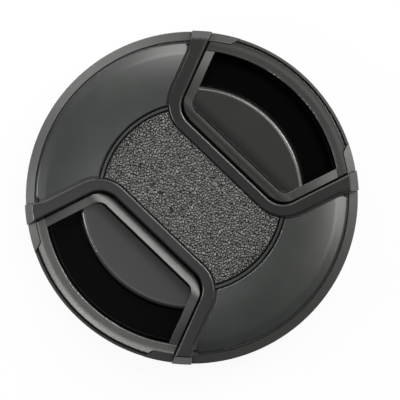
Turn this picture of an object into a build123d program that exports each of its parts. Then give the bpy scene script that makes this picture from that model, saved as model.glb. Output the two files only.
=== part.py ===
from build123d import *
import math
import os

os.makedirs("parts", exist_ok=True)

# Centre-pinch lens cap for a 58 mm filter thread.
# The pads slide along X, the cap faces +Z, and the rear edge of the skirt lies on Z = 0.
# All sizes are millimetres and degrees.

# Base: skirt, flange ring and rear floor
flange_radius = 31.0
seat_width = 2.6
skirt_wall = 1.4
skirt_side_wall = 0.4
skirt_depth = 3.6
skirt_lead_in = 0.4
flange_thickness = 1.6
ring_side_height = 3.3
ring_chamfer_width = 1.7
ring_chamfer_height = 1.2
cover_seat_depth = 0.5
cover_seat_width = 0.7
floor_recess = 1.0
floor_thickness = 1.2

# Finger openings, measured at the raised band's edge
opening_start = 9.6
opening_corner_y = 13.2
opening_corner_radius = 4.3
leg_angle = 19.5

# Front cover
plate_thickness = 0.8
plate_inset = 1.1
plate_setback = 0.8
cover_gap = 0.15
band_width = 2.0
band_leg_width = 2.4
band_rise = 1.2
band_edge_round = 0.3
band_flare = 1.6
band_flare_length = 1.75
band_overhang = 0.1
band_end_facet = 1.5
hook_depth = 2.6
hook_thickness = 1.4
groove_width = 0.5
wing_inner_radius = 17.7
wing_rise = 1.05
wing_crown_start = 22.6
wing_crown_drop = 0.5
wing_crown_round = 60.0
wing_bevel_width = 2.2
wing_bevel_drop = 0.5
wing_bevel_round = 6.0
wing_rim_round = 0.6
wing_edge_round = 0.25
wing_corner_radius = 1.2
rib_width = 0.49
rib_gap = 0.28
rib_rise = 0.5
panel_rise = 0.6
panel_side_gap = 0.12
peg_radius = 1.1
peg_length = 3.4
peg_x = 8.0

# Pinch pads
travel = 1.5
pad_gap = 0.7
pad_side_gap = 0.37
frame_width = 1.6
strip_draft = 22.0
frame_ramp_length = 2.3
frame_ramp_round = 8.0
frame_crown_start = 22.6
frame_crown_round = 60.0
frame_fall = 0.5
rim_drop = 0.1
rim_flat = 0.4
rim_dish_radius = 5.2
rim_gap = 0.5
notch_half_width = 14.4
notch_slant = 15.0
notch_round = 0.9
notch_ledge_wall = 0.5
notch_ledge_drop = 1.7
plateau_depth = 1.3
plateau_fall = 0.25
plateau_radius = 20.9
plateau_edge_round = 0.7
pocket_floor_round = 0.5
rim_edge_round = 0.25
pocket_wall = 0.4
pocket_floor = 1.0
pad_wall = 1.3
tongue_start = 5.6
tongue_half_width = 10.5
catch_half_width = 12.5
catch_wall = 1.2
catch_drop = 0.5
ridge_root = 0.06
ridge_height = 0.5
ridge_pitch = 0.75
ridge_count = 3
ridge_half_width = 11.0
ridge_relief = 0.4

# Springs and guides
rail_thickness = 1.2
boss_wall = 1.1
spring_inset = 3.5
spring_radius = 1.5
spring_wire = 0.3
spring_turns = 5
spring_wire_sides = 6
spring_pocket_depth = 2.0
spring_pocket_clearance = 0.25

# Clearances
slide_clearance = 0.2
stop_clearance = 0.1
hook_clearance = 0.1
press_clearance = 0.03
seat_clearance = 0.02

# Levels, from the rear edge of the skirt upwards
floor_bottom = floor_recess
floor_top = floor_bottom + floor_thickness
seat_level = skirt_depth
flange_top = seat_level + flange_thickness
ring_shoulder = seat_level + ring_side_height
ring_top = ring_shoulder + ring_chamfer_height
cover_bottom = ring_top - cover_seat_depth
plate_top = cover_bottom + plate_thickness
band_top = plate_top + band_rise
wing_top = plate_top + wing_rise
panel_top = plate_top + panel_rise
rib_top = plate_top + rib_rise
notch_level = ring_top - notch_ledge_drop
pad_bottom = floor_top + slide_clearance
tongue_top = cover_bottom - slide_clearance
frame_top = plate_top - slide_clearance
rim_bottom = flange_top + slide_clearance
rim_low = frame_top - frame_fall - rim_drop
plateau_level = frame_top - plateau_depth
pocket_level = pad_bottom + pocket_floor
spring_level = (pad_bottom + tongue_top) / 2
hook_bottom = ring_top - hook_depth
ridge_start = (catch_drop + seat_level - ridge_count * ridge_pitch) / 2
above_all = band_top + 1

# Radii and places that several pieces share
skirt_radius = flange_radius - seat_width
skirt_inner = skirt_radius - skirt_wall
lip_radius = flange_radius - ring_chamfer_width
cover_radius = lip_radius - cover_gap
cover_seat_inner = lip_radius - cover_seat_width
band_flare_radius = cover_radius - band_flare_length
panel_radius = wing_inner_radius - rib_width - 2 * rib_gap
peg_y = math.sqrt(((wing_inner_radius + cover_radius) / 2) ** 2 - peg_x**2)
hook_outer = flange_radius + band_overhang
hook_inner = hook_outer - hook_thickness
room_radius = skirt_radius - skirt_side_wall
body_radius = room_radius - stop_clearance
rim_radius = lip_radius
rim_room_radius = rim_radius + stop_clearance
notch_radius = flange_radius - notch_ledge_wall
rim_bulge_radius = notch_radius - rim_gap
pocket_radius = body_radius - pocket_wall
slot_radius = skirt_radius - catch_wall - travel - 2 * slide_clearance
ridge_radius = skirt_radius + ridge_root + ridge_height
pad_start = opening_start + pad_gap
rail_half_length = pad_start - travel - stop_clearance
spring_y = tongue_half_width - spring_inset
spring_half_length = tongue_start + spring_pocket_depth - spring_wire / 2 - seat_clearance
far_out = flange_radius * 1.5
flare_reach = hook_outer + ring_chamfer_width
leg_rise = math.tan(math.radians(leg_angle))
leg_along = Vector(math.cos(math.radians(leg_angle)), math.sin(math.radians(leg_angle)))
leg_across = Vector(-leg_along.Y, leg_along.X)
pad_room = travel * leg_along.Y + slide_clearance - pad_side_gap


def leg_point(grow, radius):
    """Point where an opening's upper side, moved outward by grow, meets a circle about Z."""
    start = Vector(opening_start, opening_corner_y) + leg_across * grow
    along = start.dot(leg_along)
    reach = math.sqrt(along**2 - start.length**2 + radius**2) - along
    return start + leg_along * reach


def opening_face(leg_grow, end_grow):
    """Finger opening on the +X side, its slanted sides moved outward by leg_grow and its end by end_grow."""
    start = opening_start - end_grow
    corner = opening_corner_y + leg_grow / leg_along.X - end_grow * leg_rise
    end = corner + (far_out - start) * leg_rise
    with BuildSketch() as opening:
        with BuildLine():
            Polyline((start, -corner), (far_out, -end), (far_out, end), (start, corner), close=True)
        make_face()
        fillet(opening.vertices().group_by(Axis.X)[0], opening_corner_radius + (leg_grow + end_grow) / 2)
    return opening.sketch


def band_face(grow):
    """Raised band round the +X opening, flared where it meets the rim, with its edges moved by grow."""
    flare_start = leg_point(band_leg_width + grow, band_flare_radius)
    flare_end = leg_point(band_leg_width + band_flare + grow, flare_reach)
    flare_root = leg_point(band_leg_width / 2, band_flare_radius)
    flare_tip = leg_point(band_leg_width / 2, flare_reach)
    with BuildSketch() as band:
        add(opening_face(band_leg_width + grow, band_width + grow))
        with BuildLine():
            Polyline(flare_start, flare_end, flare_tip, flare_root, close=True)
        make_face()
        mirror(about=Plane.XZ)
        add(opening_face(-grow, -grow), mode=Mode.SUBTRACT)
    return band.sketch


def rim_face(outline, rim, grow, reach, corner_round):
    """Outline as far as the rim, its middle brought out to reach between slanted sides moved by grow."""
    slope = math.tan(math.radians(notch_slant))
    side_x = math.sqrt(lip_radius**2 - notch_half_width**2)
    side_y = notch_half_width + grow / math.cos(math.radians(notch_slant))
    inner = side_y + (side_x - plateau_radius) * slope
    outer = side_y - (far_out - side_x) * slope
    with BuildSketch() as middle:
        with BuildLine():
            Polyline(
                (plateau_radius, -inner),
                (far_out, -outer),
                (far_out, outer),
                (plateau_radius, inner),
                close=True,
            )
        make_face()
        Circle(reach, mode=Mode.INTERSECT)
    with BuildSketch() as face:
        add(outline)
        Circle(rim, mode=Mode.INTERSECT)
        add(middle.sketch)
        rim_ends = face.vertices().group_by(lambda corner: abs(math.hypot(corner.X, corner.Y) - rim))[0]
        fillet(rim_ends.group_by(lambda corner: abs(corner.Y))[0], corner_round)
    return face.sketch


# Rear moulding: one revolved section, opened for the pads, with rails and peg sockets on its floor
with BuildPart() as cap_base:
    with BuildSketch(Plane.XZ):
        with BuildLine():
            Polyline(
                (0, floor_bottom),
                (skirt_inner, floor_bottom),
                (skirt_inner, 0),
                (skirt_radius - skirt_lead_in, 0),
                (skirt_radius, skirt_lead_in),
                (skirt_radius, seat_level),
                (flange_radius, seat_level),
                (flange_radius, ring_shoulder),
                (lip_radius, ring_top),
                (lip_radius, cover_bottom),
                (cover_seat_inner, cover_bottom),
                (cover_seat_inner, flange_top),
                (skirt_inner, flange_top),
                (skirt_inner, floor_top),
                (0, floor_top),
                close=True,
            )
        make_face()
    revolve(axis=Axis.Z)
    # Room for the pads: thin skirt walls beside them, then out to the lip and out through the notches
    pad_hole = opening_face(pad_room, pad_room)
    with BuildSketch(Plane.XY.offset(floor_top)):
        add(pad_hole)
        Circle(room_radius, mode=Mode.INTERSECT)
        mirror(about=Plane.YZ)
    extrude(amount=above_all, mode=Mode.SUBTRACT)
    for low, high, reach in ((flange_top, notch_level, notch_radius), (notch_level, above_all, far_out)):
        with BuildSketch(Plane.XY.offset(low)):
            add(rim_face(pad_hole, rim_room_radius, slide_clearance, reach, notch_round - slide_clearance))
            mirror(about=Plane.YZ)
        extrude(amount=high - low, mode=Mode.SUBTRACT)
    # Slots in the floor and skirt for the catches, with the seat relieved over their ridges
    with BuildSketch():
        Rectangle(2 * flange_radius, 2 * catch_half_width + 2 * slide_clearance)
        Circle(ridge_radius + slide_clearance, mode=Mode.INTERSECT)
        Circle(slot_radius, mode=Mode.SUBTRACT)
    extrude(amount=seat_level + ridge_relief, mode=Mode.SUBTRACT)
    # Seats in the ring for the hooks at the band ends
    with BuildSketch(Plane.XY.offset(hook_bottom - hook_clearance)):
        add(band_face(hook_clearance))
        mirror(about=Plane.YZ)
        Circle(hook_inner - hook_clearance, mode=Mode.SUBTRACT)
    extrude(amount=above_all, mode=Mode.SUBTRACT)
    # Guide rails beside the tongues, high enough to carry the middle of the cover
    with BuildSketch(Plane.XY.offset(floor_top)):
        rail_y = tongue_half_width + slide_clearance + rail_thickness / 2
        with Locations((0, rail_y), (0, -rail_y)):
            Rectangle(2 * rail_half_length, rail_thickness)
    extrude(amount=cover_bottom - floor_top)
    # Sockets for the cover's pegs
    with BuildSketch(Plane.XY.offset(floor_top)):
        with GridLocations(2 * peg_x, 2 * peg_y, 2, 2):
            Circle(peg_radius + press_clearance + boss_wall)
            Circle(peg_radius + press_clearance, mode=Mode.SUBTRACT)
    extrude(amount=cover_bottom - floor_top)
cap_base.part.label = "cap_base"
export_step(cap_base.part, "parts/cap_base.step")

# Wing plates: the ring between the openings, crowned towards the rim by a revolved section
with BuildPart() as wings:
    with BuildSketch(Plane.XY.offset(cover_bottom)) as wing_outline:
        Circle(cover_radius)
        Circle(wing_inner_radius, mode=Mode.SUBTRACT)
        leg_groove = opening_face(band_leg_width + groove_width, band_width + groove_width)
        for groove in (leg_groove, band_face(groove_width)):
            add(groove, mode=Mode.SUBTRACT)
            add(mirror(groove, about=Plane.YZ, mode=Mode.PRIVATE), mode=Mode.SUBTRACT)
        rim_corners = wing_outline.vertices().group_by(lambda corner: math.hypot(corner.X, corner.Y))[-1]
        fillet(rim_corners, wing_corner_radius)
    extrude(amount=above_all)
    with BuildSketch(Plane.XZ):
        crown_end = cover_radius - wing_bevel_width
        crown_low = wing_top - wing_crown_drop
        with BuildLine():
            wing_crown = FilletPolyline(
                (wing_inner_radius, cover_bottom),
                (wing_inner_radius, wing_top),
                (wing_crown_start, wing_top),
                (crown_end, crown_low),
                (cover_radius, crown_low - wing_bevel_drop),
                (cover_radius, cover_bottom),
                radius=(wing_edge_round, wing_crown_round, wing_bevel_round, wing_rim_round),
            )
            Line(wing_crown @ 1, wing_crown @ 0)
        make_face()
    revolve(axis=Axis.Z, mode=Mode.INTERSECT)

# Front moulding: a thin plate that carries the wings, the panel, a thin rib and the raised bands
with BuildPart() as front_cover:
    with BuildSketch(Plane.XY.offset(cover_bottom)):
        Circle(cover_radius - plate_setback)
        plate_hole = opening_face(plate_inset, plate_inset)
        add(plate_hole, mode=Mode.SUBTRACT)
        add(mirror(plate_hole, about=Plane.YZ, mode=Mode.PRIVATE), mode=Mode.SUBTRACT)
    extrude(amount=plate_thickness)
    panel_side = opening_face(band_leg_width + panel_side_gap, band_width + panel_side_gap)
    with BuildSketch(Plane.XY.offset(cover_bottom)):
        Circle(panel_radius)
        add(panel_side, mode=Mode.SUBTRACT)
        add(mirror(panel_side, about=Plane.YZ, mode=Mode.PRIVATE), mode=Mode.SUBTRACT)
    extrude(amount=panel_top - cover_bottom)
    with BuildSketch(Plane.XY.offset(cover_bottom)):
        Circle(wing_inner_radius - rib_gap)
        Circle(panel_radius + rib_gap, mode=Mode.SUBTRACT)
        add(panel_side, mode=Mode.SUBTRACT)
        add(mirror(panel_side, about=Plane.YZ, mode=Mode.PRIVATE), mode=Mode.SUBTRACT)
    extrude(amount=rib_top - cover_bottom)
    add(wings.part)
    # Raised bands, with hooks that reach down over the ring at their ends
    with BuildSketch(Plane.XY.offset(plate_top)):
        add(band_face(0))
        mirror(about=Plane.YZ)
        Circle(hook_outer, mode=Mode.INTERSECT)
    extrude(amount=band_rise)
    with BuildSketch(Plane.XY.offset(hook_bottom)):
        add(band_face(0))
        mirror(about=Plane.YZ)
        Circle(hook_outer, mode=Mode.INTERSECT)
        Circle(hook_inner, mode=Mode.SUBTRACT)
    extrude(amount=plate_top - hook_bottom)
    with BuildSketch(Plane.XZ):
        with BuildLine():
            Polyline(
                (hook_outer - band_end_facet, band_top),
                (hook_outer + band_end_facet, band_top),
                (hook_outer + band_end_facet, band_top - 2 * band_end_facet),
                close=True,
            )
        make_face()
    revolve(axis=Axis.Z, mode=Mode.SUBTRACT)
    fillet(front_cover.faces().group_by(Axis.Z)[-1].edges(), band_edge_round)
    # Pegs that press into the base
    with BuildSketch(Plane.XY.offset(cover_bottom)):
        with GridLocations(2 * peg_x, 2 * peg_y, 2, 2):
            Circle(peg_radius)
    extrude(amount=-peg_length)
front_cover.part.label = "front_cover"
export_step(front_cover.part, "parts/front_cover.step")

# Short thread ridges on a pad's catch
with BuildPart() as ridges:
    with BuildSketch(Plane.XZ):
        ridge_back = skirt_radius - catch_wall / 2
        ridge_outline = [(ridge_back, ridge_start), (skirt_radius + ridge_root, ridge_start)]
        for ridge in range(ridge_count):
            ridge_low = ridge_start + ridge * ridge_pitch
            ridge_outline.append((ridge_radius, ridge_low + ridge_pitch / 2))
            ridge_outline.append((skirt_radius + ridge_root, ridge_low + ridge_pitch))
        ridge_outline.append((ridge_back, ridge_start + ridge_count * ridge_pitch))
        with BuildLine():
            Polyline(*ridge_outline, close=True)
        make_face()
    revolve(axis=Axis.Z)
    with BuildSketch():
        with Locations((flange_radius, 0)):
            Rectangle(flange_radius, 2 * ridge_half_width)
    extrude(amount=above_all, mode=Mode.INTERSECT)

# Space above a pad's frame, which ramps down to the tongue and is crowned towards the rim
with BuildPart() as frame_space:
    with BuildSketch(Plane.XZ):
        with BuildLine():
            frame_ramp = FilletPolyline(
                (tongue_start, tongue_top),
                (pad_start, tongue_top),
                (pad_start + frame_ramp_length, frame_top),
                (far_out, frame_top),
                radius=(0, frame_ramp_round),
            )
            Polyline(frame_ramp @ 1, (far_out, above_all), (tongue_start, above_all), frame_ramp @ 0)
        make_face()
    extrude(amount=flange_radius, both=True)
    with BuildSketch(Plane.XZ):
        with BuildLine():
            frame_crown = FilletPolyline(
                (opening_start, frame_top),
                (frame_crown_start, frame_top),
                (pocket_radius, frame_top - frame_fall),
                radius=frame_crown_round,
            )
            Polyline(frame_crown @ 1, (pocket_radius, above_all), (opening_start, above_all), frame_crown @ 0)
        make_face()
    revolve(axis=Axis.Z)
    with BuildSketch():
        Circle(pocket_radius)
    extrude(amount=2 * above_all, mode=Mode.INTERSECT)

# Hole inside a pad's frame, with draft on the strip beside the band, and all that lies beyond the pocket
with BuildPart() as frame_hole:
    for hole_level in (pocket_level, above_all):
        draft = (hole_level - frame_top) * math.tan(math.radians(strip_draft))
        with BuildSketch(Plane.XY.offset(hole_level)):
            add(opening_face(-pad_side_gap - frame_width, draft - pad_gap - frame_width))
    loft(ruled=True)
    with BuildSketch(Plane.XY.offset(pocket_level)):
        Circle(far_out)
        Circle(pocket_radius, mode=Mode.SUBTRACT)
    extrude(amount=above_all - pocket_level)

# Space in a pad's well: plateau, finger pocket and dished rim are one revolved section
with BuildPart() as well_space:
    with BuildSketch(Plane.XZ):
        with BuildLine():
            well_bed = FilletPolyline(
                (opening_start, plateau_level - plateau_fall),
                (plateau_radius, plateau_level),
                (plateau_radius, pocket_level),
                (pocket_radius, pocket_level),
                (pocket_radius, rim_low),
                (pocket_radius + rim_flat, rim_low),
                radius=(plateau_edge_round, pocket_floor_round, pocket_floor_round, rim_edge_round),
            )
            dish_turn = math.asin((flange_radius - pocket_radius - rim_flat) / rim_dish_radius)
            rim_dish = JernArc(well_bed @ 1, well_bed % 1, rim_dish_radius, math.degrees(dish_turn))
            Polyline(rim_dish @ 1, (flange_radius, above_all), (opening_start, above_all), well_bed @ 0)
        make_face()
    revolve(axis=Axis.Z)
    add(frame_hole.part, mode=Mode.INTERSECT)

# Pinch pad: tongue, dished rim, plateau, finger pocket and catch
with BuildPart() as pinch_pad_right:
    pad_outline = opening_face(-pad_side_gap, -pad_gap)
    with BuildSketch(Plane.XY.offset(pad_bottom)):
        add(pad_outline)
        Circle(body_radius, mode=Mode.INTERSECT)
    extrude(amount=plate_top - pad_bottom)
    with BuildSketch(Plane.XY.offset(rim_bottom)):
        add(rim_face(pad_outline, rim_radius, 0, rim_bulge_radius, notch_round))
    extrude(amount=plate_top - rim_bottom)
    add(frame_space.part, mode=Mode.SUBTRACT)
    add(well_space.part, mode=Mode.SUBTRACT)
    # Tongue that runs between the guide rails, with a pocket for each spring
    with BuildSketch(Plane.XY.offset(pad_bottom)):
        with Locations((tongue_start, 0)):
            tongue_length = pad_start + pad_wall - tongue_start
            Rectangle(tongue_length, 2 * tongue_half_width, align=(Align.MIN, Align.CENTER))
    extrude(amount=tongue_top - pad_bottom)
    with BuildSketch(Plane.YZ.offset(tongue_start)):
        with Locations((spring_y, spring_level), (-spring_y, spring_level)):
            Circle(spring_radius + spring_wire / 2 + spring_pocket_clearance)
    extrude(amount=spring_pocket_depth, mode=Mode.SUBTRACT)
    # Catch that reaches down through the base, level with its skirt
    with BuildSketch(Plane.XY.offset(catch_drop)):
        with Locations((flange_radius, 0)):
            Rectangle(flange_radius, 2 * catch_half_width)
        Circle(skirt_radius, mode=Mode.INTERSECT)
        Circle(skirt_radius - catch_wall, mode=Mode.SUBTRACT)
    extrude(amount=pad_bottom + pocket_floor - catch_drop)
    add(ridges.part)
    # Hollow under the plateau
    with BuildSketch(Plane.XY.offset(pad_bottom)):
        add(opening_face(-pad_side_gap - pad_wall, -pad_gap - pad_wall))
        Circle(plateau_radius - pad_wall, mode=Mode.INTERSECT)
    extrude(amount=plateau_level - plateau_fall - pad_wall - pad_bottom, mode=Mode.SUBTRACT)
pinch_pad_right.part.label = "pinch_pad_right"
export_step(pinch_pad_right.part, "parts/pinch_pad_right.step")

with BuildPart() as pinch_pad_left:
    mirror(pinch_pad_right.part, about=Plane.YZ)
pinch_pad_left.part.label = "pinch_pad_left"
export_step(pinch_pad_left.part, "parts/pinch_pad_left.step")

# Two springs that push the pads apart
for spring_name, spring_side in (("spring_upper", spring_y), ("spring_lower", -spring_y)):
    with BuildPart() as spring:
        with BuildLine() as coil:
            Helix(
                pitch=2 * spring_half_length / spring_turns,
                height=2 * spring_half_length,
                radius=spring_radius,
                center=(-spring_half_length, spring_side, spring_level),
                direction=(1, 0, 0),
            )
        with BuildSketch(Plane(origin=coil.line @ 0, z_dir=coil.line % 0)):
            RegularPolygon(spring_wire / 2, spring_wire_sides)
        sweep(is_frenet=True)
    spring.part.label = spring_name
    export_step(spring.part, f"parts/{spring_name}.step")
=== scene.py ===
"""Looks of a centre-pinch lens cap: moulded plastics, a grained panel, two springs and a studio stage.

Lengths are metres in Blender's own data. Patterns in the materials are written in millimetres.
"""

import math
from collections import namedtuple

import bpy
import numpy as np
from bpy.props import FloatProperty, FloatVectorProperty, IntProperty, PointerProperty
from mathutils import Matrix, Vector


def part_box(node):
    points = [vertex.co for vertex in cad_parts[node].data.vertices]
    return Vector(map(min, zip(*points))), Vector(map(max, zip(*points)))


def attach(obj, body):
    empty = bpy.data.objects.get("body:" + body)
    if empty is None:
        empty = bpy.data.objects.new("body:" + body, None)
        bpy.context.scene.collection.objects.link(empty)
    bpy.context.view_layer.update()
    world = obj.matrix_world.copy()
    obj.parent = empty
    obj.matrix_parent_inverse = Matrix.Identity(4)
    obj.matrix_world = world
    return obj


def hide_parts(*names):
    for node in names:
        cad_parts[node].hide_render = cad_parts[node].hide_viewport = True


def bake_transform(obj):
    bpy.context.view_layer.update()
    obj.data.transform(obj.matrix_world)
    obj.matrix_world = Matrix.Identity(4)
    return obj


bl_info = {
    "name": "Pinch Lens Cap",
    "version": (1, 0, 0),
    "blender": (4, 5, 0),
    "location": "View3D > Sidebar > Lens Cap",
    "description": "Finishes a centre-pinch lens cap and sets it on a studio stage",
    "category": "Object",
}

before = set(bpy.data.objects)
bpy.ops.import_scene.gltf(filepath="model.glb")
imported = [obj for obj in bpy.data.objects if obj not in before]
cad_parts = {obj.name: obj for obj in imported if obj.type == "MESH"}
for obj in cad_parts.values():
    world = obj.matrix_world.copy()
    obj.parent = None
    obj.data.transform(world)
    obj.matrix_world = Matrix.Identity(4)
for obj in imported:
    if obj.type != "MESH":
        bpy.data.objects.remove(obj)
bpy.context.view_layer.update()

MM = 0.001
PHOTO_SIZE = 400

# Gloss of the plastics, and of the deep black that is painted as shade in their pockets and grooves, and laid
# faintly on the bands
PLASTIC_SPECULAR = 0.94
SHADE_BLACK_SPECULAR = 0.05
SHADE_BLACK_ROUGHNESS = 0.3

# Tones between which a plastic's colour drifts in slow clouds
CLOUD_TONES = (0.85, 1.15)

# Where the finishes change, in millimetres from the cap's middle or above its rear edge. Each pair is where a
# smooth step starts and where it ends.
RING_SLOPE = (6.6, 7.0)
BAND_TOP = (9.46, 9.56)
# The rib groove, wing edge, pocket, strip gap and well steps below bound where shade is painted
RIB_GROOVE_INSIDE = (16.55, 16.65)
RIB_GROOVE_OUTSIDE = (17.7, 17.8)
RIB_GROOVE_BRIM = (8.5, 8.8)
WING_EDGE_INSIDE = (28.55, 28.9)
WING_EDGE_OUTSIDE = (29.15, 29.25)
WING_EDGE_BRIM = (8.9, 9.1)
FRAME_FOOT = (6.95, 7.15)
PLATEAU_EDGE = (19.9, 20.15)
POCKET_INSIDE = (20.75, 21.0)
POCKET_OUTSIDE = (27.6, 27.7)
POCKET_FLOOR = (3.25, 3.38)
POCKET_BRIM = (6.3, 6.7)
STRIP_GAP_INSIDE = (8.9, 9.1)
STRIP_GAP_OUTSIDE = (10.15, 10.4)
STRIP_GAP_FLOOR = (7.1, 7.3)
WELL_INSIDE = (11.85, 11.95)
WELL_OUTSIDE = (20.4, 20.7)
WELL_FLOOR = (6.4, 6.55)
WELL_BRIM = (7.75, 7.93)
WALL_FOOT = (12.4, 12.6)
WALL_FOOT_LEVEL = (6.95, 7.05)
WELL_SHADE = (12.6, 15.0)


class LensCapSizes(bpy.types.PropertyGroup):
    """Sizes of the pieces that are laid over the solids or stand for them."""

    panel_radius: FloatProperty(
        name="Panel radius",
        description="Radius of the grained panel's two round ends",
        default=16.65 * MM,
        subtype="DISTANCE",
        precision=5,
    )
    panel_half_width: FloatProperty(
        name="Panel half width",
        description="Distance from the middle of the panel to its straight sides",
        default=7.48 * MM,
        subtype="DISTANCE",
        precision=5,
    )
    bend_x: FloatProperty(
        name="Bend centre across",
        description="Distance from the middle of the cap to the centre of a band's bend, across the panel",
        default=14.1 * MM,
        subtype="DISTANCE",
        precision=5,
    )
    bend_y: FloatProperty(
        name="Bend centre along",
        description="Distance from the middle of the cap to the centre of a band's bend, along the panel",
        default=10.44 * MM,
        subtype="DISTANCE",
        precision=5,
    )
    panel_level: FloatProperty(
        name="Panel level",
        description="Height of the solid that the grain is laid on",
        default=9.0 * MM,
        subtype="DISTANCE",
        precision=5,
    )
    panel_skin: FloatProperty(
        name="Panel skin",
        description="Thickness of the grained layer under its creases",
        default=0.03 * MM,
        subtype="DISTANCE",
        precision=5,
    )
    grain_pitch: FloatProperty(
        name="Grain pitch",
        description="Distance between neighbouring pebbles of the leather grain",
        default=0.5 * MM,
        subtype="DISTANCE",
        precision=5,
    )
    grain_depth: FloatProperty(
        name="Grain depth",
        description="Depth of the creases between the pebbles",
        default=0.38 * MM,
        subtype="DISTANCE",
        precision=5,
    )
    grain_step: FloatProperty(
        name="Grain step",
        description="Distance between the points that the grain is worked out at",
        default=0.095 * MM,
        subtype="DISTANCE",
        precision=5,
    )
    wire_diameter: FloatProperty(
        name="Wire diameter",
        description="Thickness of the springs' round wire",
        default=0.3 * MM,
        subtype="DISTANCE",
        precision=5,
    )
    spring_turns: IntProperty(
        name="Spring turns",
        description="Number of turns of each spring, over its whole length",
        default=5,
    )


class LensCapColours(bpy.types.PropertyGroup):
    """Colours of the finishes."""

    base: FloatVectorProperty(
        name="Base",
        description="Black plastic of the rear moulding and its ring",
        default=(0.019, 0.019, 0.018),
        subtype="COLOR",
    )
    cover: FloatVectorProperty(
        name="Cover",
        description="Black plastic of the wings and bands",
        default=(0.031, 0.034, 0.033),
        subtype="COLOR",
    )
    pad: FloatVectorProperty(
        name="Pad",
        description="Black plastic of the pinch pads",
        default=(0.03, 0.03, 0.029),
        subtype="COLOR",
    )
    # Colour of the deep black painted as shade in pockets, grooves, gaps and creases, and laid faintly on the
    # bands
    deep_black_and_painted_shade: FloatVectorProperty(
        name="Pocket",
        description="Deep black in the finger pockets, grooves, gaps and creases",
        default=(0.001, 0.001, 0.001),
        subtype="COLOR",
    )
    grain: FloatVectorProperty(
        name="Grain",
        description="Grained panel, on top of its pebbles",
        default=(0.135, 0.135, 0.129),
        subtype="COLOR",
    )
    steel: FloatVectorProperty(
        name="Steel",
        description="Bright spring wire",
        default=(0.55, 0.55, 0.56),
        subtype="COLOR",
    )


class LensCapStage(bpy.types.PropertyGroup):
    """Where the camera stands and how strong the surround is."""

    camera_distance: FloatProperty(
        name="Camera distance",
        description="From the camera to the widest part of the cap's ring",
        default=0.4,
        subtype="DISTANCE",
    )
    pinch_angle: FloatProperty(
        name="Pinch angle",
        description="Turn of the line in which the pads slide, above the picture's horizontal",
        default=math.radians(46.2),
        subtype="ANGLE",
    )
    ring_pixels: FloatProperty(
        name="Ring radius",
        description="Radius of the cap's ring in the picture, in pixels",
        default=166.58,
        subtype="PIXEL",
    )
    centre_pixels: FloatVectorProperty(
        name="Cap centre",
        description="Centre of the cap in the picture, in pixels from its upper left corner",
        default=(191.81, 197.67),
        size=2,
    )
    floor: FloatVectorProperty(
        name="Floor",
        description="Pale floor and backdrop, as lamps light it",
        default=(0.8, 0.8, 0.8),
        subtype="COLOR",
    )
    ambient: FloatProperty(
        name="Ambient",
        description="Strength of the even light from all round",
        default=0.016,
    )


class Value:
    """A shader socket in Python arithmetic: each operator adds one Math node to the socket's finish."""

    def __init__(self, finish, socket):
        self.finish = finish
        self.socket = socket

    def out(self, name):
        """Another output of the same node."""
        return Value(self.finish, self.socket.node.outputs[name])

    def math(self, operation, *terms):
        """A Math node of that operation on the terms."""
        return self.finish.node("ShaderNodeMath", {"operation": operation}, dict(enumerate(terms)))

    def __add__(self, other):
        return self.math("ADD", self, other)

    def __radd__(self, other):
        return self.math("ADD", other, self)

    def __sub__(self, other):
        return self.math("SUBTRACT", self, other)

    def __rsub__(self, other):
        return self.math("SUBTRACT", other, self)

    def __mul__(self, other):
        return self.math("MULTIPLY", self, other)

    def __rmul__(self, other):
        return self.math("MULTIPLY", other, self)

    def __pow__(self, other):
        return self.math("POWER", self, other)

    def __abs__(self):
        return self.math("ABSOLUTE", self)

    def rise(self, low, high):
        """Smooth step: 0 up to low, 1 from high on."""
        return self.finish.node(
            "ShaderNodeMapRange",
            {"interpolation_type": "SMOOTHSTEP"},
            {"Value": self, "From Min": low, "From Max": high},
        )

    def fall(self, low, high):
        """Smooth step down: 1 up to low, 0 from high on."""
        return 1.0 - self.rise(low, high)

    def within(self, start, end):
        """1 between two smooth steps, up and down, and 0 outside them."""
        return self.rise(*start) * self.fall(*end)


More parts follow.
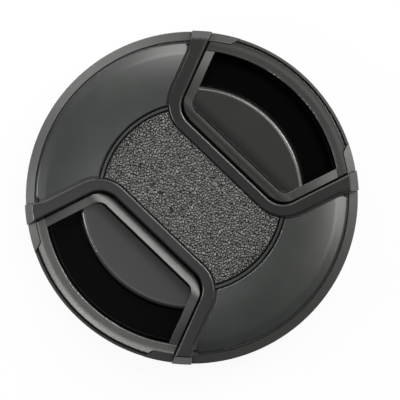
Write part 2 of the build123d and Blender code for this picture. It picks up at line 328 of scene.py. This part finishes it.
class Finish:
    """A Principled material, with the object's own coordinates in millimetres for its patterns."""

    def __init__(self, name):
        self.material = bpy.data.materials.new(name)
        self.material.use_nodes = True
        self.tree = self.material.node_tree
        self.shader = self.tree.nodes["Principled BSDF"]
        metres = self.node("ShaderNodeTexCoord").out("Object")
        self.place = self.node(
            "ShaderNodeVectorMath", {"operation": "SCALE"}, {"Vector": metres, "Scale": 1 / MM}
        )
        axes = self.node("ShaderNodeSeparateXYZ", {}, {"Vector": self.place})
        self.x, self.y, self.height = axes.out("X"), axes.out("Y"), axes.out("Z")
        self.radius = (self.x**2.0 + self.y**2.0) ** 0.5

    def node(self, kind, settings=None, sockets=None):
        """Adds a node, sets its settings and then its sockets, and returns its first output."""
        node = self.tree.nodes.new(kind)
        for name, setting in (settings or {}).items():
            setattr(node, name, setting)
        for name, value in (sockets or {}).items():
            self.feed(node.inputs[name], value)
        return Value(self, node.outputs[0])

    def feed(self, socket, value):
        """Links a value to a socket, or sets a plain number or colour on it."""
        if isinstance(value, Value):
            self.tree.links.new(value.socket, socket)
        else:
            socket.default_value = value

    def noise(self, period, detail=2.0):
        """Cloudy noise from 0 to 1, whose blotches are about one period across, in millimetres."""
        sockets = {"Vector": self.place, "Scale": 1 / period, "Detail": detail}
        return self.node("ShaderNodeTexNoise", {}, sockets)

    def blend(self, share, first, second):
        """Colour that goes from first to second as share goes from 0 to 1."""
        mix = self.node("ShaderNodeMix", {"data_type": "RGBA"}, {0: share, 6: first, 7: second})
        return mix.out(2)

    def clouded(self, clouds, colour):
        """The colour, slightly darker and lighter with the clouds."""
        darker, lighter = CLOUD_TONES
        return self.blend(clouds, tone(colour, darker), tone(colour, lighter))

    def patchy(self, clouds, level, spread):
        """The level, up to half the spread lower and higher with the clouds."""
        return level + spread * (clouds - 0.5)

    def surface(self, colour, roughness, relief, depth, edge=0.12):
        """Feeds the shader: colour, roughness, and relief from 0 to 1 as bump of that depth.

        Sharp edges are softened to that edge radius. Depth and edge are millimetres.
        """
        edges = self.node("ShaderNodeBevel", {"samples": 4}, {"Radius": edge * MM})
        bump = self.node(
            "ShaderNodeBump", {}, {"Height": relief, "Distance": depth * MM, "Strength": 1.0, "Normal": edges}
        )
        self.feed(self.shader.inputs["Base Color"], colour)
        self.feed(self.shader.inputs["Roughness"], roughness)
        self.feed(self.shader.inputs["Specular IOR Level"], PLASTIC_SPECULAR)
        self.feed(self.shader.inputs["Normal"], bump)

    def mix(self, share, other):
        """Mixes another shader into the surface, by share."""
        lit = Value(self, self.shader.outputs[0])
        mixed = self.node("ShaderNodeMixShader", {}, {0: share, 1: lit, 2: other})
        self.feed(self.tree.nodes["Material Output"].inputs["Surface"], mixed)

    def paint_shade_and_blacken(self, share, colour):
        """Mixes a deep colour with hardly any gloss into the surface, by share: painted shade in pockets,
        grooves, gaps and creases, and a blacker finish on the bands.
        """
        sockets = {"Base Color": colour, "Roughness": SHADE_BLACK_ROUGHNESS, "Specular IOR Level": SHADE_BLACK_SPECULAR}
        self.mix(share, self.node("ShaderNodeBsdfPrincipled", {}, sockets))


def tone(colour, factor=1.0):
    """Colour with its brightness changed, as the four numbers that a colour socket takes."""
    return (*(channel * factor for channel in colour), 1.0)


def base_finish(colours):
    """Satin black of the rear moulding: turned lines on the ring's slope, a duller skirt and floor behind."""
    finish = Finish("base_satin_black")
    skirt_roughness, slope_polish = 0.55, 0.07
    spark_share, line_share = 0.6, 0.4
    clouds = finish.noise(period=3.0)
    spark = finish.noise(period=0.11, detail=3.0)
    slope = finish.height.rise(*RING_SLOPE)
    lines = finish.node(
        "ShaderNodeTexWave",
        {"wave_type": "RINGS", "rings_direction": "Z", "wave_profile": "SIN"},
        {"Vector": finish.place, "Scale": 0.9, "Distortion": 0.0},
    )
    roughness = finish.patchy(clouds, skirt_roughness - slope_polish * slope, spread=0.06)
    relief = spark_share * spark + line_share * slope * lines
    finish.surface(finish.clouded(clouds, colours.base), roughness, relief, depth=0.006)
    return finish.material


def cover_finish(colours):
    """Front moulding: smooth satin wings, and blacker bands with a fine spark on top.

    Painted shade lies as deep black in the groove beside the rib and along the wings' outer edge, and deep
    black lies faintly on the bands.
    """
    finish = Finish("cover_satin_black")
    wing_roughness, band_dullness = 0.27, 0.03
    wing_spark, band_spark = 0.35, 0.65
    band_tone = 0.08
    groove_shade_share, band_share, edge_shade_share = 0.9, 0.15, 0.65
    clouds = finish.noise(period=4.0)
    spark = finish.noise(period=0.12, detail=3.0)
    band = finish.height.rise(*BAND_TOP)
    roughness = finish.patchy(clouds, wing_roughness + band_dullness * band, spread=0.02)
    relief = spark * (wing_spark + band_spark * band)
    colour = finish.blend(band, finish.clouded(clouds, colours.cover), tone(colours.cover, band_tone))
    finish.surface(colour, roughness, relief, depth=0.006)
    # Painted shade: deep black in the crease beside the rib and along the wings' outer edge
    beside_rib = finish.radius.within(RIB_GROOVE_INSIDE, RIB_GROOVE_OUTSIDE)
    groove = beside_rib * finish.height.fall(*RIB_GROOVE_BRIM)
    at_ring = finish.radius.within(WING_EDGE_INSIDE, WING_EDGE_OUTSIDE)
    edge = at_ring * finish.height.fall(*WING_EDGE_BRIM)
    finish.paint_shade_and_blacken(groove_shade_share * groove + band_share * band + edge_shade_share * edge, tone(colours.deep_black_and_painted_shade))
    return finish.material


def pad_finish(colours):
    """Pinch pads: satin rim and frame, and a blacker plateau.

    Painted shade lies as deep black in the finger pocket, in the gap between strip and band and on the wall
    of the well that goes down to the plateau, and a painted shadow lies at that wall's foot, where it dies
    out along the plateau.
    """
    finish = Finish("pad_satin_black")
    frame_roughness, plateau_dullness = 0.29, 0.03
    plateau_tone = 0.12
    wall_shade_share, shade_share = 0.8, 0.45
    clouds = finish.noise(period=4.0)
    spark = finish.noise(period=0.12, detail=3.0)
    plateau = finish.height.fall(*FRAME_FOOT) * finish.radius.fall(*PLATEAU_EDGE)
    roughness = finish.patchy(clouds, frame_roughness + plateau_dullness * plateau, spread=0.02)
    colour = finish.blend(plateau, finish.clouded(clouds, colours.pad), tone(colours.pad, plateau_tone))
    finish.surface(colour, roughness, spark, depth=0.003)
    # Painted shade, as deep black: the pocket, the strip gap, the wall down to the plateau, and a painted
    # shadow fading from the wall's foot
    across = abs(finish.x)
    between_walls = finish.radius.within(POCKET_INSIDE, POCKET_OUTSIDE)
    deep_black_and_painted_shade = between_walls * finish.height.within(POCKET_FLOOR, POCKET_BRIM)
    gap = across.within(STRIP_GAP_INSIDE, STRIP_GAP_OUTSIDE) * finish.height.rise(*STRIP_GAP_FLOOR)
    round_well = across.rise(*WELL_INSIDE) * finish.radius.fall(*WELL_OUTSIDE)
    well = round_well * finish.height.within(WELL_FLOOR, WELL_BRIM)
    past_foot = across.rise(*WALL_FOOT) * finish.height.fall(*WALL_FOOT_LEVEL)
    wall = well * (1.0 - past_foot)
    shade = well * past_foot * across.fall(*WELL_SHADE)
    finish.paint_shade_and_blacken(deep_black_and_painted_shade + gap + wall_shade_share * wall + shade_share * shade, tone(colours.deep_black_and_painted_shade))
    return finish.material


def grain_finish(colours):
    """Leather-grained panel: pebbles catch the light, and the creases between them are dull and darkened by
    painted shade.
    """
    finish = Finish("panel_leather_grain")
    crease_shade_tone, tone_curve = 0.02, 1.6
    crease_roughness, crown_polish = 0.6, 0.25
    crease_shade_share, crease_curve = 0.6, 3.0
    crown = finish.node("ShaderNodeAttribute", {"attribute_name": "crown"}).out("Fac")
    clouds = finish.noise(period=2.5)
    pores = finish.noise(period=0.09, detail=3.0)
    # Painted shade: the colour darkens from the pebbles' crowns down into the creases
    colour = finish.blend(crown**tone_curve, tone(colours.grain, crease_shade_tone), tone(colours.grain))
    roughness = finish.patchy(clouds, crease_roughness - crown_polish * crown, spread=0.08)
    finish.surface(colour, roughness, pores, depth=0.008, edge=0.02)
    # More painted shade, as deep black, in the creases
    finish.paint_shade_and_blacken(crease_shade_share * (1.0 - crown) ** crease_curve, tone(colours.deep_black_and_painted_shade))
    return finish.material


def spring_finish(colours):
    """Drawn steel wire with faint dull patches."""
    finish = Finish("spring_bright_steel")
    bright_roughness, dullness, dull_tone = 0.25, 0.2, 0.8
    clouds = finish.noise(period=1.2)
    scratches = finish.noise(period=0.06)
    finish.feed(finish.shader.inputs["Metallic"], 1.0)
    colour = finish.blend(clouds, tone(colours.steel, dull_tone), tone(colours.steel))
    finish.surface(colour, bright_roughness + dullness * clouds, scratches, depth=0.003, edge=0.01)
    return finish.material


def stage_finish(colour):
    """Pale floor that is white to the camera and in reflections, and still takes a faint shadow."""
    finish = Finish("stage_white")
    matt_roughness, white_share = 0.9, 0.93
    finish.feed(finish.shader.inputs["Base Color"], tone(colour))
    finish.feed(finish.shader.inputs["Roughness"], matt_roughness)
    light = finish.node("ShaderNodeLightPath")
    seen = light.out("Is Camera Ray") + light.out("Is Glossy Ray") + light.out("Is Transmission Ray")
    finish.mix(white_share * seen, finish.node("ShaderNodeEmission", {}, {"Strength": 1.0}))
    return finish.material


def dress(node, material):
    """Gives a node of the solids its finish."""
    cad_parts[node].material_slots[0].material = material


def skin(name, rings, material):
    """Closed object through rings of points, given as an array of rings by points by three.

    Neighbouring rings are joined by quads, round each ring, and a fan to its middle point closes each end.
    """
    count, around = rings.shape[:2]
    middles = rings[[0, -1]].mean(axis=1)
    points = np.concatenate([rings.reshape(-1, 3), middles])
    here = np.arange(count * around).reshape(count, around)
    beside = np.roll(here, -1, axis=1)
    quads = np.stack([here[:-1], beside[:-1], beside[1:], here[1:]], axis=-1).reshape(-1, 4)
    first, last = np.full(around, count * around), np.full(around, count * around + 1)
    fans = np.concatenate(
        [np.stack([first, beside[0], here[0]], axis=-1), np.stack([last, here[-1], beside[-1]], axis=-1)]
    )
    mesh = bpy.data.meshes.new(name)
    mesh.from_pydata(points.tolist(), [], quads.tolist() + fans.tolist())
    mesh.shade_smooth()
    mesh.materials.append(material)
    piece = bpy.data.objects.new(name, mesh)
    bpy.context.scene.collection.objects.link(piece)
    return piece


def slow_waves(first, second, rate, bend, slower):
    """Sine waves along first, whose crests are bent by slower ones along second."""
    return np.sin(rate * first + bend * np.sin(slower * second))


def pebbles(x, y, pitch):
    """Leather grain over points x, y: 0 in the creases and 1 on the pebbles' crowns.

    Each square of a grid of that pitch holds one cell centre, at a random place in it and of a random height.
    A pebble rises with the difference between a point's distances to its nearest and second nearest centre,
    in a smooth step up to its own height, and falls slightly away from its centre. The points are first
    shifted by slow waves, so that no row of cells shows.
    """
    seed, squares, far = 7, 64, 9.0
    sway, crease_width, lowest, dome = 0.35, 0.3, 0.55, 0.35
    cells = np.random.default_rng(seed).random((squares, squares, 3))
    x, y = x / pitch, y / pitch
    across = x + sway * slow_waves(y, x, rate=1.3, bend=0.8, slower=0.7)
    along = y + sway * slow_waves(x, y, rate=1.1, bend=0.9, slower=0.6)
    column, row = np.floor(across).astype(int), np.floor(along).astype(int)
    nearest = np.full(x.shape, far)
    second = np.full(x.shape, far)
    tall = np.zeros(x.shape)
    for step_across, step_along in np.ndindex(3, 3):
        cell_column, cell_row = column + step_across - 1, row + step_along - 1
        cell = cells[cell_column % squares, cell_row % squares]
        distance = np.hypot(cell_column + cell[..., 0] - across, cell_row + cell[..., 1] - along)
        tall = np.where(distance < nearest, cell[..., 2], tall)
        second = np.minimum(second, np.maximum(nearest, distance))
        nearest = np.minimum(nearest, distance)
    share = np.clip((second - nearest) / crease_width, 0, 1)
    flank = share * share * (3 - 2 * share)
    return (lowest + (1 - lowest) * tall) * flank * (1 - dome * np.clip(nearest, 0, 1) ** 2)


def panel_rings(sizes):
    """Rings of the grained panel, from one round end to the other, and the grain's crown at each point.

    A ring goes across the top, with the panel's half width at that place, and back along the flat underside.
    The half width is the nearer of the band's side and the round end. The grain dies out at the edges.
    """
    rows = int(math.pi * sizes.panel_radius / sizes.grain_step)
    columns = int(2 * sizes.panel_half_width / sizes.grain_step)
    turn = np.linspace(-math.pi / 2, math.pi / 2, rows + 2)[1:-1]
    y = sizes.panel_radius * np.sin(turn)
    bend_radius = sizes.bend_x - sizes.panel_half_width
    past_bend = np.clip(np.abs(y) - sizes.bend_y, 0, bend_radius)
    side = sizes.bend_x - np.sqrt(bend_radius**2 - past_bend**2)
    half_width = np.minimum(side, sizes.panel_radius * np.cos(turn))
    across = half_width[:, None] * np.linspace(-1, 1, columns)
    along = np.repeat(y[:, None], columns, axis=1)
    edge = np.minimum(half_width[:, None] - np.abs(across), sizes.panel_radius - np.hypot(across, along))
    half_pebble = sizes.grain_pitch / 2
    fade = np.clip(edge / half_pebble, 0, 1)
    fade = fade * (2 - fade)
    crown = pebbles(across, along, sizes.grain_pitch)
    rise = fade * (sizes.panel_skin + sizes.grain_depth * crown)
    top = np.stack([across, along, sizes.panel_level + rise], axis=-1)
    under = top[:, ::-1][:, :: columns - 1].copy()
    under[..., 2] = sizes.panel_level - sizes.panel_skin
    crowns = np.concatenate([crown * fade, np.zeros(under.shape[:2])], axis=1)
    return np.concatenate([top, under], axis=1), crowns


def coil_rings(middle, radius, half_length, turns, wire_radius, side):
    """Rings of round wire along the half of a spring that lies on one side of its middle.

    The wire's centre goes round the X axis through middle, by an even turn for each step along X.
    """
    steps_per_turn, wire_sides, start = 120, 12, math.pi / 2
    share = np.linspace(0, side, steps_per_turn * turns // 2)
    angle = start + math.pi * turns * (share + 1)
    outward = np.stack([0 * angle, np.cos(angle), np.sin(angle)], axis=-1)
    centre = np.array(middle) + radius * outward
    centre[:, 0] += half_length * share
    along = np.gradient(centre, axis=0)
    along /= np.linalg.norm(along, axis=1, keepdims=True)
    sideways = np.cross(along, outward)
    spin = np.linspace(0, 2 * math.pi, wire_sides, endpoint=False)[:, None]
    ring = np.cos(spin) * outward[:, None] + np.sin(spin) * sideways[:, None]
    return centre[:, None] + wire_radius * ring


class LENSCAP_OT_base(bpy.types.Operator):
    """Gives the rear moulding its satin black plastic"""

    bl_idname = "lens_cap.base"
    bl_label = "Finish Base"

    def execute(self, context):
        dress("cap_base", base_finish(context.scene.lens_cap_colours))
        return {"FINISHED"}


class LENSCAP_OT_cover(bpy.types.Operator):
    """Gives the front moulding its satin wings, blacker bands and painted shade in its grooves"""

    bl_idname = "lens_cap.cover"
    bl_label = "Finish Cover"

    def execute(self, context):
        dress("front_cover", cover_finish(context.scene.lens_cap_colours))
        return {"FINISHED"}


class LENSCAP_OT_pads(bpy.types.Operator):
    """Gives both pinch pads their satin plastic, with painted shade as deep black in their pockets and gaps
    """

    bl_idname = "lens_cap.pads"
    bl_label = "Finish Pads"

    def execute(self, context):
        material = pad_finish(context.scene.lens_cap_colours)
        for node in ("pinch_pad_right", "pinch_pad_left"):
            dress(node, material)
        return {"FINISHED"}


class LENSCAP_OT_panel(bpy.types.Operator):
    """Lays the leather-grained skin over the middle of the front moulding"""

    bl_idname = "lens_cap.panel"
    bl_label = "Add Grained Panel"

    def execute(self, context):
        rings, crowns = panel_rings(context.scene.lens_cap_sizes)
        panel = skin("grained_panel", rings, grain_finish(context.scene.lens_cap_colours))
        crown = panel.data.attributes.new("crown", "FLOAT", "POINT")
        crown.data.foreach_set("value", np.append(crowns.ravel(), [0, 0]).astype(np.float32))
        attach(panel, "cap")
        return {"FINISHED"}


class LENSCAP_OT_springs(bpy.types.Operator):
    """Winds the two springs from round wire, each as two halves that a pad presses on"""

    bl_idname = "lens_cap.springs"
    bl_label = "Wind Springs"

    def execute(self, context):
        sizes = context.scene.lens_cap_sizes
        material = spring_finish(context.scene.lens_cap_colours)
        wire_radius = sizes.wire_diameter / 2
        for node in ("spring_upper", "spring_lower"):
            low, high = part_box(node)
            middle = (low + high) / 2
            radius = (high.y - low.y) / 2 - wire_radius
            half_length = (high.x - low.x) / 2 - wire_radius
            for side, pad in ((1, "pad_right"), (-1, "pad_left")):
                rings = coil_rings(middle, radius, half_length, sizes.spring_turns, wire_radius, side)
                half = skin(f"{node}_{pad[4:]}_half", rings, material)
                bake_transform(half)
                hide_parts(node)
        return {"FINISHED"}


Lamp = namedtuple("Lamp", "name azimuth elevation distance width height watts colour")
WARM_WHITE = (1.0, 0.99, 0.95)
PLAIN_WHITE = (1.0, 1.0, 0.98)
COOL_WHITE = (0.97, 1.0, 0.98)

# Azimuths are turned from the picture's right towards its top, and elevations are above the floor, both in
# degrees. Distances and sizes are metres.
LAMPS = (
    Lamp("key_softbox", 30, 28, 0.5, 0.13, 0.13, 1.28, WARM_WHITE),
    Lamp("key_middle", 60, 45, 0.5, 0.13, 0.13, 0.48, WARM_WHITE),
    Lamp("key_upper", 45, 62, 0.5, 0.13, 0.13, 0.37, WARM_WHITE),
    Lamp("back_upper", 92, 62, 0.5, 0.13, 0.13, 0.336, PLAIN_WHITE),
    Lamp("right_upper", 2, 62, 0.5, 0.13, 0.13, 0.32, WARM_WHITE),
    Lamp("right_strip", 0, 28, 0.5, 0.13, 0.13, 0.24, WARM_WHITE),
    Lamp("key_low_strip", 45, 12, 0.5, 0.33, 0.13, 0.8, WARM_WHITE),
    Lamp("back_softbox", 125, 45, 0.5, 0.13, 0.13, 0.16, PLAIN_WHITE),
    Lamp("back_left_strip", 126, 12, 0.5, 0.45, 0.13, 1.08, PLAIN_WHITE),
    Lamp("left_near", 185, 32, 0.13, 0.05, 0.05, 0.08, COOL_WHITE),
    Lamp("front_left_near", 218, 76, 0.14, 0.05, 0.05, 0.0104, COOL_WHITE),
)


class LENSCAP_OT_stage(bpy.types.Operator):
    """Sets the floor, backdrop, soft lamps and the camera that looks straight at the front"""

    bl_idname = "lens_cap.stage"
    bl_label = "Set Stage"

    def execute(self, context):
        stage = context.scene.lens_cap_stage
        self.add_floor(stage)
        self.add_surround(context, stage)
        turn = Matrix.Rotation(-stage.pinch_angle, 3, "Z")
        for lamp in LAMPS:
            self.add_lamp(lamp, turn)
        self.add_camera(context, stage, turn)
        return {"FINISHED"}

    def add_floor(self, stage):
        """Round floor and low backdrop: a flat, a quarter-round foot and a wall, carried round the Z axis.

        The flat lies a hair below the cap's rear edge, so that the two don't share a plane.
        """
        hub, reach, foot, wall, drop = 0.05, 4.0, 0.3, 0.6, 0.02 * MM
        bend_steps, around = 12, 96
        bend = np.linspace(0, math.pi / 2, bend_steps)
        radius = np.concatenate([[hub], reach - foot + foot * np.sin(bend), [reach]])
        height = np.concatenate([[0.0], foot - foot * np.cos(bend), [wall]]) - drop
        spin = np.linspace(0, 2 * math.pi, around, endpoint=False)[:, None]
        heights = np.broadcast_to(height, (around, len(height)))
        points = np.stack([radius * np.cos(spin), radius * np.sin(spin), heights], axis=-1)
        here = np.arange(points[..., 0].size).reshape(points.shape[:2])
        beside = np.roll(here, -1, axis=0)
        quads = np.stack([here[:, :-1], here[:, 1:], beside[:, 1:], beside[:, :-1]], axis=-1).reshape(-1, 4)
        mesh = bpy.data.meshes.new("floor_and_backdrop")
        mesh.from_pydata(points.reshape(-1, 3).tolist(), [], quads.tolist() + [here[:, 0].tolist()])
        mesh.shade_smooth()
        mesh.materials.append(stage_finish(stage.floor))
        floor = bpy.data.objects.new("floor_and_backdrop", mesh)
        bpy.context.scene.collection.objects.link(floor)

    def add_surround(self, context, stage):
        """Even dim light from all round, and plain view settings."""
        world = bpy.data.worlds.new("dim_surround")
        world.use_nodes = True
        background = world.node_tree.nodes["Background"]
        background.inputs["Color"].default_value = (1, 1, 1, 1)
        background.inputs["Strength"].default_value = stage.ambient
        context.scene.world = world
        context.scene.view_settings.view_transform = "Standard"

    def add_lamp(self, lamp, turn):
        """Soft rectangular lamp that faces the cap."""
        light = bpy.data.lights.new(lamp.name, "AREA")
        light.shape = "RECTANGLE"
        light.size = lamp.width
        light.size_y = lamp.height
        light.energy = lamp.watts
        light.color = lamp.colour
        azimuth, elevation = math.radians(lamp.azimuth), math.radians(lamp.elevation)
        level = math.cos(elevation)
        away = turn @ Vector((level * math.cos(azimuth), level * math.sin(azimuth), math.sin(elevation)))
        holder = bpy.data.objects.new(lamp.name, light)
        holder.location = away * lamp.distance
        holder.rotation_euler = away.to_track_quat("Z", "Y").to_euler()
        bpy.context.scene.collection.objects.link(holder)

    def add_camera(self, context, stage, turn):
        """Camera straight above the front, turned and set aside to lay the cap as it lies in the picture.

        A pixel's width on the cap comes from the ring's radius in both, and the lens length from that width.
        """
        low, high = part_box("cap_base")
        pixel = (high.x - low.x) / 2 / stage.ring_pixels
        aside = [(PHOTO_SIZE / 2 - centre) * pixel for centre in stage.centre_pixels]
        camera = bpy.data.objects.new("camera", bpy.data.cameras.new("camera"))
        camera.data.lens = camera.data.sensor_width * stage.camera_distance / (PHOTO_SIZE * pixel)
        camera.data.clip_start = stage.camera_distance / 100
        camera.location = turn @ Vector((aside[0], -aside[1], 0))
        camera.location.z = high.z + stage.camera_distance
        camera.rotation_euler = (0, 0, -stage.pinch_angle)
        context.scene.collection.objects.link(camera)
        context.scene.camera = camera


class LENSCAP_PT_panel(bpy.types.Panel):
    """Lists the lens cap's pieces and its stage"""

    bl_idname = "LENSCAP_PT_panel"
    bl_label = "Lens Cap"
    bl_space_type = "VIEW_3D"
    bl_region_type = "UI"
    bl_category = "Lens Cap"

    def draw(self, context):
        for operator in OPERATORS:
            self.layout.operator(operator.bl_idname)
        for group in (getattr(context.scene, name) for name in GROUPS):
            for name in group.__annotations__:
                self.layout.prop(group, name)


GROUPS = {
    "lens_cap_sizes": LensCapSizes,
    "lens_cap_colours": LensCapColours,
    "lens_cap_stage": LensCapStage,
}
OPERATORS = (
    LENSCAP_OT_base,
    LENSCAP_OT_cover,
    LENSCAP_OT_pads,
    LENSCAP_OT_panel,
    LENSCAP_OT_springs,
    LENSCAP_OT_stage,
)


def register():
    """Registers the classes, and hangs the property groups on the scene."""
    for cls in (*GROUPS.values(), *OPERATORS, LENSCAP_PT_panel):
        bpy.utils.register_class(cls)
    for name, group in GROUPS.items():
        setattr(bpy.types.Scene, name, PointerProperty(type=group))


def unregister():
    """Takes back what register did."""
    for name in GROUPS:
        delattr(bpy.types.Scene, name)
    for cls in (LENSCAP_PT_panel, *reversed(OPERATORS), *GROUPS.values()):
        bpy.utils.unregister_class(cls)


def main():
    """Makes every piece and the stage."""
    register()
    bpy.ops.lens_cap.base()
    bpy.ops.lens_cap.cover()
    bpy.ops.lens_cap.pads()
    bpy.ops.lens_cap.panel()
    bpy.ops.lens_cap.springs()
    bpy.ops.lens_cap.stage()


if __name__ == "__main__":
    main()
